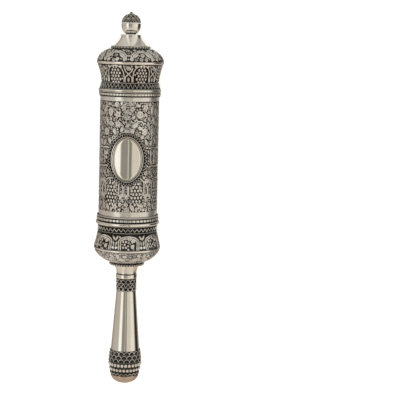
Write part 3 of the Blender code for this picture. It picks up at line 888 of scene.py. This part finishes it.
milledRing("tube_top_ring", {
    "columns": 424, "cut": 0.3, "cutDark": 0.8,
    "steps": ((0.05, 0.3, -0.5), (0.55, 0.9, 0.0), (1.4, 1.9, 0.0), (2.25, 2.85, -0.6)),
    "rows": ((0.4, 2.1, 53, 0.2),),
})
milledRing("tube_bottom_ring", {
    "columns": 480, "cut": 0.3, "cutDark": 1.0,
    "steps": ((0.25, 1.2, -0.3), (1.5, 1.95, -0.8), (2.25, 2.6, 0.0), (3.3, 3.8, 0.0), (4.15, 4.6, -0.8)),
    "rows": ((2.1, 3.95, 48, 0.3), (0.1, 1.3, 96, 0.14)),
})
print("rims and rings ready")

# The tube, chased all over with vines and grapes
tubeLook = {
    "columns": 400, "rows": 226, "wall": 1.0, "depth": 0.32, "ground": 0.2, "dull": 0.09, "hemDull": 0.24,
    "bunch": ((2, 3, 4, 3, 4, 3, 2), 2.7, 2.8, 0.85),
    "panels": 7, "firstBunch": 8.2, "ringTop": 3.15, "ringBottom": 4.8, "border": (16.2, 21.5),
    "shieldDown": 0.6, "hem": (3.4, 91.9), "fade": 0.6, "underLift": -0.15, "underDark": 0.9, "hidden": 0.5,
    "fill": (3.6, 92.4), "fillSizes": (2.6, 2.1, 1.6, 1.15, 0.85), "fillLine": 0.38, "fillGap": 0.42,
}
start, end, radius = span("scroll_tube")
reliefTop = start + tubeLook["ringTop"]
stations = np.linspace(reliefTop + 0.1, end - tubeLook["ringBottom"] - 0.1, tubeLook["rows"])
relief = Relief(np.full(len(stations), radius), stations - reliefTop, tubeLook["columns"])
depth = tubeLook["depth"]
pitch = fullTurn / tubeLook["panels"]
for k in range(tubeLook["panels"]):
    centre = tubeLook["firstBunch"] / radius + k * pitch

    def put(u, s, reach, motif, turn=0.0, hand=1):
        relief.stamp(centre + u / radius, s, reach, motif, turn, hand)

    if k in (0, 2, 4):
        put(1.7, 13.7, 4, rosette(3.1, 10, depth))
        put(7.0, 8.2, 5, vineLeaf(3.5, depth), 0.5)
        put(6.5, 27.3, 4, rosette(2.9, 6, depth))
        put(-2.4, 22.4, 4, almond(2.9, 1.6, depth), 1.2)
        put(-4.4, 27.2, 4, almond(2.8, 1.5, depth), 0.3)
        put(-4.6, 9.4, 4, vineLeaf(3.0, depth), -0.7)
        put(2.4, 20.0, 5, ridge([(-4, 1), (-2, -1), (1, -1), (3, 1), (5, 0.5)], 0.45, depth))
        put(2.2, 24.6, 4, almond(2.6, 1.3, depth), 1.9)
        put(-8.5, 16.0, 4, vineLeaf(2.8, depth), 2.4)
    else:
        put(-1.8, 12.0, 5, almond(3.9, 2.2, depth))
        put(4.9, 13.8, 5, vineLeaf(3.9, depth), -0.4)
        put(5.2, 21.2, 5, vineLeaf(3.4, depth), 2.6)
        put(-5.9, 27.7, 4, rosette(3.1, 10, depth))
        put(2.2, 27.3, 4, almond(3.0, 1.5, depth), -0.6)
        put(8.6, 25.4, 4, almond(2.4, 1.2, depth), 0.5)
        put(-7.4, 10.0, 6, almond(5.0, 1.4, depth), 0.3)
        put(-5.4, 18.6, 6, almond(4.2, 1.3, depth), -0.35)
        put(-1.2, 20.8, 5, curl(2.2, 1.5, 0.42, depth))
        put(9.8, 8.6, 4, vineLeaf(2.8, depth), 1.1)
    # branches and scrolls beside the shield
    branch = [(-10, 0.4), (-6, -0.5), (-2, 0.5), (2, -0.4), (6, 0.6), (10, -0.3)]
    for s in (40.3, 55.2):
        put(0, s, 12, ridge(branch, 0.55, depth))
    for u, s, turn in ((-8, 36.5, 0.5), (-2.6, 34.8, -0.4), (8, 35.8, -0.5), (3.2, 36.2, 0.7)):
        put(u, s, 4, almond(3.0, 1.35, depth), turn)
    for u in (-8.6, -4.4, 0.0, 4.4, 8.6):
        put(u, 47.8, 6, ridge([(0, -5.5), (0.5, 0), (0, 5.5)], 0.42, depth))
    for u, s, hand in ((-6.5, 44.5, 1), (-2.2, 50.6, -1), (2.2, 44.8, 1), (6.5, 51.0, -1)):
        put(u, s, 3, curl(1.7, 1.4, 0.4, depth), 0.0, hand)
    for u, s, turn in ((-8.2, 60.2, 0.8), (8.2, 60.4, -0.8), (-3.2, 59.6, -0.6), (3.4, 59.2, 0.5)):
        put(u, s, 4, vineLeaf(2.5, depth), turn)
    # a bunch under its arch, with leaves below
    put(0, 77.2, 12, grapes(*tubeLook["bunch"], depth * 1.1))
    put(0, 69.5, 10, ridge(bow(6.7, 5.2, 9.0), 0.45, depth))
    for hand in (-1, 1):
        put(hand * 10.6, 73, 9, ridge([(-hand * 3.6, -6), (-hand * 0.4, -1.5), (-hand * 0.4, 6)], 0.4, depth))
        put(hand * 9.2, 66.4, 3, curl(1.8, 1.4, 0.4, depth), 0.0, hand)
        put(hand * 8.4, 79.2, 4, almond(2.9, 1.1, depth), hand * 0.25)
        put(hand * 8.2, 85.6, 4, curl(1.7, 1.3, 0.4, depth), 1.5, hand)
    put(-3.6, 88.0, 5, almond(3.3, 1.5, depth), -0.5)
    put(3.3, 87.6, 5, vineLeaf(3.3, depth), 0.35)
    put(0, 89.6, 4, almond(2.4, 1.0, depth))
relief.fill(*tubeLook["fill"], depth, tubeLook["fillSizes"], tubeLook["fillLine"], tubeLook["fillGap"])
tarnish = relief.tarnish(depth, tubeLook["dull"])
shieldMiddle = (start + end) / 2 + tubeLook["shieldDown"] - reliefTop
across = radius * np.sin(relief.angles)[None] / tubeLook["border"][0]
down = (relief.along - shieldMiddle)[:, None] / tubeLook["border"][1]
isUnder = (np.hypot(across, down) < 1) & (np.cos(relief.angles)[None] > 0)
fade = np.clip(np.minimum(relief.along, relief.along[-1] - relief.along) / tubeLook["fade"], 0, 1)[:, None]
hemTop, hemBottom = tubeLook["hem"]
hem = ((relief.along < hemTop) | (relief.along > hemBottom))[:, None]
lift = np.where(isUnder, tubeLook["underLift"], np.where(hem, 0, relief.height - tubeLook["ground"])) * fade
tarnish = np.where(isUnder, tubeLook["underDark"], np.where(hem, tubeLook["hemDull"], tarnish))
bore = radius - tubeLook["wall"]
outline = [(radius, start), (radius, reliefTop - 0.2)] + [(radius, t) for t in stations]
outline += [(radius, end - 0.2), (radius - 0.2, end), (bore + 0.2, end), (bore, end - 0.2), (bore, start)]
height = np.zeros((len(outline), tubeLook["columns"]))
shade = np.full(height.shape, tubeLook["hidden"])
height[2 : 2 + len(stations)], shade[2 : 2 + len(stations)] = lift, tarnish
shell = Shell()
shell.turned(outline, tubeLook["columns"], height, shade)
shell.piece("scroll_tube", "chased_silver", True)
print("tube ready")

# The oval shield: a polished plate, a double rim and a dark border of arches
shieldLook = {
    "plate": (11.0, 16.3), "flat": 10.7, "tall": 5.3, "columns": 144, "lift": 0.3, "thick": 0.7,
}
middle = (start + end) / 2 + tubeLook["shieldDown"]
low = radius + shieldLook["lift"]
oval = np.arange(shieldLook["columns"]) * fullTurn / shieldLook["columns"]


def ovalPath(half, out, turns=oval):
    # points of an upright oval on the case, given by its half width
    return np.stack([
        np.arcsin(np.clip(half * np.cos(turns) / out, -1, 1)),
        middle - (half + shieldLook["tall"]) * np.sin(turns),
        out + 0 * turns,
    ], -1)


def ovalSheet(rows):
    # rows of an oval sheet, each (half width, out); half width 0 is its centre
    spots = []
    for half, out in rows:
        share = min(1, half / shieldLook["plate"][0])
        path = ovalPath(half, out)
        if half < shieldLook["plate"][0]:
            path[:, 1] = middle - share * shieldLook["plate"][1] * np.sin(oval)
        spots.append(toWorld(*path.T))
    return np.array(spots)


face = low + shieldLook["thick"]
plate = [(share * shieldLook["flat"], face) for share in np.linspace(0, 1, 12)]
plate += [(10.9, face - 0.08), (11.0, face - 0.25), (11.0, low), (5.0, low), (0, low)]
shell = Shell()
shell.sheet(ovalSheet(plate), 0.0)
shell.piece("cartouche_plate", "polished_silver")

# The rim is two bright ridges that lean in to the plate, with a dark groove between them:
# half width, height over the tube and tarnish of each line round it
rimLines = (
    (11.3, 0.5, 0.0), (11.34, 0.7, 0.0), (11.8, 0.8, 0.0), (11.84, 0.3, 1.0), (12.46, 0.3, 1.0),
    (12.5, 0.7, 0.0), (12.96, 0.8, 0.0), (13.0, 0.5, 0.3), (13.0, 0.0, 1.0), (11.3, 0.0, 1.0),
)
shell = Shell()
rimDark = np.array([[dark] for _, _, dark in rimLines])
shell.grid(ovalSheet([(half, low + height) for half, height, _ in rimLines]), rimDark, True)
shell.piece("cartouche_rim", "beaded_silver")

borderLook = {"inner": 13.3, "top": 15.8, "outer": 15.9, "height": 0.35, "cells": 44, "wire": 0.17}
scallopLook = {"from": 13.7, "swing": 1.9, "height": 0.5, "steps": 8}
shell = Shell()
inner, outer, face = borderLook["inner"], borderLook["outer"], low + borderLook["height"]
shell.grid(ovalSheet([(inner, face), (borderLook["top"], face), (outer, low), (inner, low)]), 1.0, True)
cells, steps, out = borderLook["cells"], scallopLook["steps"], low + scallopLook["height"]
turns = np.arange(cells * steps) / (cells * steps) * fullTurn
half = scallopLook["from"] + scallopLook["swing"] * abs(np.sin(turns * cells / 2))
shell.wire(ovalPath(half, out, turns), borderLook["wire"], 6, (0.0, 0.9))
shell.piece("cartouche_border", "dark_filigree")
print("shield ready")

# The bell under the lower crown
rootLook = {"flare": 1.7, "foot": 8.0, "wall": 1.0}
start, end, radius = span("base_neck")
outer = []
for share in np.linspace(1, 0, 20):
    lean = (radius - rootLook["foot"]) * share ** rootLook["flare"]
    outer.append((rootLook["foot"] + lean, end - (end - start) * share))
inner = [(r - rootLook["wall"], t) for r, t in reversed(outer)]
shell = Shell()
shell.turned(outer + inner, 112)
shell.piece("base_neck", "soft_silver")

plainRim("handle_collar", "polished_silver", {
    "bore": 7.0, "ease": 0.3, "columns": 112, "face": 0.15, "fade": 0.2,
    "upper": ((0.55, 0), (0.5, 0.35), (0, 0.55)), "lower": ((0, 0.5), (0.35, 0)),
})

# The handle's tapered shaft, hollow inside
shaftLook = {
    "neck": 7.25, "top": 8.0, "bottom": 11.7, "foot": 10.8, "sleeve": 10.7, "lower": 22.6, "longer": 1.8,
}
start, end, radius = span("handle_shaft")
visible, hidden = start + shaftLook["sleeve"], end - shaftLook["lower"] + shaftLook["longer"]
skin = [(shaftLook["neck"], start), (shaftLook["neck"], visible)]
for share in np.linspace(0, 1, 24):
    skin.append((shaftLook["top"] + (shaftLook["bottom"] - shaftLook["top"]) * share,
                 visible + (hidden - visible) * share))
skin += [(shaftLook["foot"], hidden), (shaftLook["foot"], end), (shaftLook["foot"] - 1, end)]
skin += [(shaftLook["foot"] - 1, hidden), (shaftLook["neck"] - 1, visible), (shaftLook["neck"] - 1, start)]
shell = Shell()
shell.turned(skin, 128)
shell.piece("handle_shaft", "polished_silver")

# Filigree sleeves on the handle
start, end, radius = span("handle_top_filigree")
shell = Shell()
bore, ground = 7.58, radius - 0.42
skin = [(bore, start), (ground, start), (ground, end - 1.0), (ground - 0.15, end - 0.3), (bore, end - 0.3)]
shell.turned(eased(skin, 0.1, 3), 104, recess=1.0)
cells, thick, out = 13, 0.21, radius - 0.22
third = (end - start) / 3
for station in (start + third, start + 2 * third):
    shell.wire(hoopPath(station, out, 104), thick * 0.8, 6, (0.1, 1.0))
shell.wire(archPath(cells, start + third - 0.3, third - 0.7, out, out), thick, 6, (0.0, 1.0))
shell.wire(zigzagPath(cells, start + third + 0.2, start + 2 * third - 0.2, out, out), thick, 6, (0.0, 1.0))
shell.wire(archPath(cells, start + 2 * third + 0.2, 0.6 - third, out, out, 0.5), thick * 1.3, 6, (0.0, 1.0))
shell.piece("handle_top_filigree", "dark_filigree")

start, end, radius = span("handle_bottom_filigree")
start = start + shaftLook["longer"]
shell = Shell()
bore, topOut = 11.12, 12.6
skin = [(bore, start + 0.2), (topOut - 0.45, start + 0.2), (radius - 0.45, end), (bore, end)]
shell.turned(eased(skin, 0.1, 3), 140, recess=1.0)


def sleeveOut(station):
    return topOut + (radius - topOut) * (station - start) / (end - start) - 0.2


cells, thick = 18, 0.22
third = (end - start) / 3
for row in range(3):
    foot = start + (row + 1) * third
    phase = 0.5 * (row % 2)
    shell.wire(hoopPath(foot - 0.15, sleeveOut(foot), 140), thick * 0.6, 6, (0.8, 1.0))
    height = third * 0.86
    path = archPath(cells, foot - 0.3, height, sleeveOut(foot), sleeveOut(foot - height), phase)
    shell.wire(path, thick, 6, (0.05, 1.0))
    angles = (np.arange(cells) + phase + 0.5) * fullTurn / cells
    shell.beads(angles, foot - third * 0.35, sleeveOut(foot) - 0.3, (0.3, 0.4, 0.4), (0.85, 1.0), 8, 5)
shell.piece("handle_bottom_filigree", "dark_filigree")


handleBore = 11.1


def beadRing(node, look):
    # a row of round beads on a dark hoop
    start, end, radius = span(node)
    face, middle = radius - 1.0, (start + end) / 2
    skin = [(handleBore, start), (face - 0.2, start), (face, middle), (face - 0.2, end), (handleBore, end)]
    skin = eased(skin, 0.2)
    shell = Shell()
    shell.turned(skin, 120, recess=0.95)
    angles = (np.arange(look["count"]) + look["phase"]) * fullTurn / look["count"]
    size = look["bead"]
    shell.beads(angles, middle, radius - size[2], size, (0.0, 0.9), 14, 9)
    shell.piece(node, "beaded_silver")


beadRing("handle_bead_ring_upper", {"count": 26, "phase": 0.5, "bead": (1.3, 1.45, 1.2)})
beadRing("handle_bead_ring_lower", {"count": 26, "phase": 0.0, "bead": (1.22, 1.25, 1.1)})

start, end, radius = span("pommel_filigree_ring")
shell = Shell()
skin = [(handleBore, start), (radius - 0.4, start), (radius - 0.5, end), (handleBore, end)]
skin = eased(skin, 0.15, 3)
shell.turned(skin, 120, recess=1.0)
out = radius - 0.25
shell.wire(zigzagPath(22, start + 0.4, end - 0.4, out, out - 0.1), 0.2, 6, (0.0, 1.0))
shell.piece("pommel_filigree_ring", "dark_filigree")

start, end, radius = span("pommel_dome")
quarter = np.linspace(0, math.pi / 2, 22)
outer = [(radius * math.cos(a), start + (end - start) * math.sin(a)) for a in quarter[:-1]]
inner = [((radius - 1) * math.cos(a), start + (end - start - 1) * math.sin(a)) for a in quarter[-2::-1]]
shell = Shell()
shell.turned([(0, end - 1)] + inner + outer + [(0, end)], 112)
shell.piece("pommel_dome", "pommel_silver")
print("handle ready")

# Floor, light and camera
floorLook = {
    "size": 40, "haze": (3, 2, 0.5), "tints": ((0.90, 0.90, 0.90), (0.92, 0.92, 0.915)),
    "rough": 0.9, "specular": 0.1,
}
bpy.ops.mesh.primitive_plane_add(size=floorLook["size"])
floor = bpy.context.object
floor.name = "floor"
floorMat = bpy.data.materials.new("pale_floor")
nodes = Nodes(floorMat)
coords = nodes.add("ShaderNodeTexCoord", {}, {}, "Object")
tint = nodes.blend(nodes.noise(coords, *floorLook["haze"]), *floorLook["tints"])
looks = {"Base Color": tint, "Roughness": floorLook["rough"], "Specular IOR Level": floorLook["specular"]}
shader = nodes.add("ShaderNodeBsdfPrincipled", {}, looks)
nodes.add("ShaderNodeOutputMaterial", {}, {"Surface": shader})
floor.data.materials.append(floorMat)
floor.visible_glossy = False

# One ring of soft studio panels round the case's long axis, the same for every piece and view.
# Each runs from one angle to another, in degrees from straight up, and fades into the next.
panels = (
    (-180, -125, (0.40, 0.36, 0.32)),
    (-105, -58, (0.57, 0.52, 0.46)),
    (-49, -29, (1.16, 1.14, 1.06)),
    (-25, 0, (0.33, 0.31, 0.27)),
    (1.5, 3.5, (0.80, 0.75, 0.65)),
    (5, 13, (0.25, 0.24, 0.20)),
    (17, 42, (0.76, 0.71, 0.62)),
    (60, 84, (0.96, 0.91, 0.80)),
    (99, 131, (0.035, 0.03, 0.025)),
    (142, 180, (0.43, 0.40, 0.36)),
)
# and past the two ends of the case, where only curved and carved forms mirror it
ends = {
    "head": (0.78, 0.75, 0.69), "headFrom": 0.25, "headShare": 0.5,
    "foot": (0.82, 0.71, 0.61), "footFrom": 0.24, "footShare": 0.75, "soft": 0.3,
}
world = bpy.data.worlds.new("studio")
bpy.context.scene.world = world
nodes = Nodes(world)
coords = nodes.add("ShaderNodeTexCoord", {}, {}, "Generated")
sideways = nodes.add("ShaderNodeSeparateXYZ", {}, {"Vector": coords})
lengthways, upward = [Socket(nodes, sideways.socket.node.outputs[axis]) for axis in "YZ"]
aroundCase = sideways.math("ARCTAN2", sideways, upward)
stops = [((angle + 180) / 360, colour) for first, last, colour in panels for angle in (first, last)]
mirrored = nodes.add("ShaderNodeValToRGB", {"stops": stops}, {"Fac": aroundCase / fullTurn + 0.5})
towardHead = ((lengthways - ends["headFrom"]) / ends["soft"]).clamped() * ends["headShare"]
towardFoot = ((-ends["footFrom"] - lengthways) / ends["soft"]).clamped() * ends["footShare"]
mirrored = nodes.blend(towardFoot, nodes.blend(towardHead, mirrored, ends["head"]), ends["foot"])
sky = nodes.add("ShaderNodeBackground", {}, {"Color": mirrored, "Strength": 1.0})
nodes.add("ShaderNodeOutputWorld", {}, {"Surface": sky})

lampLook = {"spot": (0.1, 0.1, 1.6), "size": 2.2, "power": 55.0}
lamp = bpy.data.lights.new("overhead", "AREA")
lamp.size, lamp.energy = lampLook["size"], lampLook["power"]
lampObj = bpy.data.objects.new("overhead", lamp)
bpy.context.scene.collection.objects.link(lampObj)
lampObj.location = lampLook["spot"]
lampObj.visible_glossy = False

cameraLook = {"spot": (0.0588, 0.1391, 1.0692), "tilt": 7.5, "roll": 1.52, "lens": 116.1}
camera = bpy.data.objects.new("camera", bpy.data.cameras.new("camera"))
bpy.context.scene.collection.objects.link(camera)
camera.data.lens = cameraLook["lens"]
camera.data.sensor_width = 36
tilt = Matrix.Rotation(-math.radians(cameraLook["tilt"]), 4, "X")
roll = Matrix.Rotation(math.radians(cameraLook["roll"]), 4, "Z")
camera.matrix_world = Matrix.Translation(cameraLook["spot"]) @ tilt @ roll
bpy.context.scene.camera = camera
bpy.context.scene.view_settings.view_transform = "Standard"
print("studio ready")
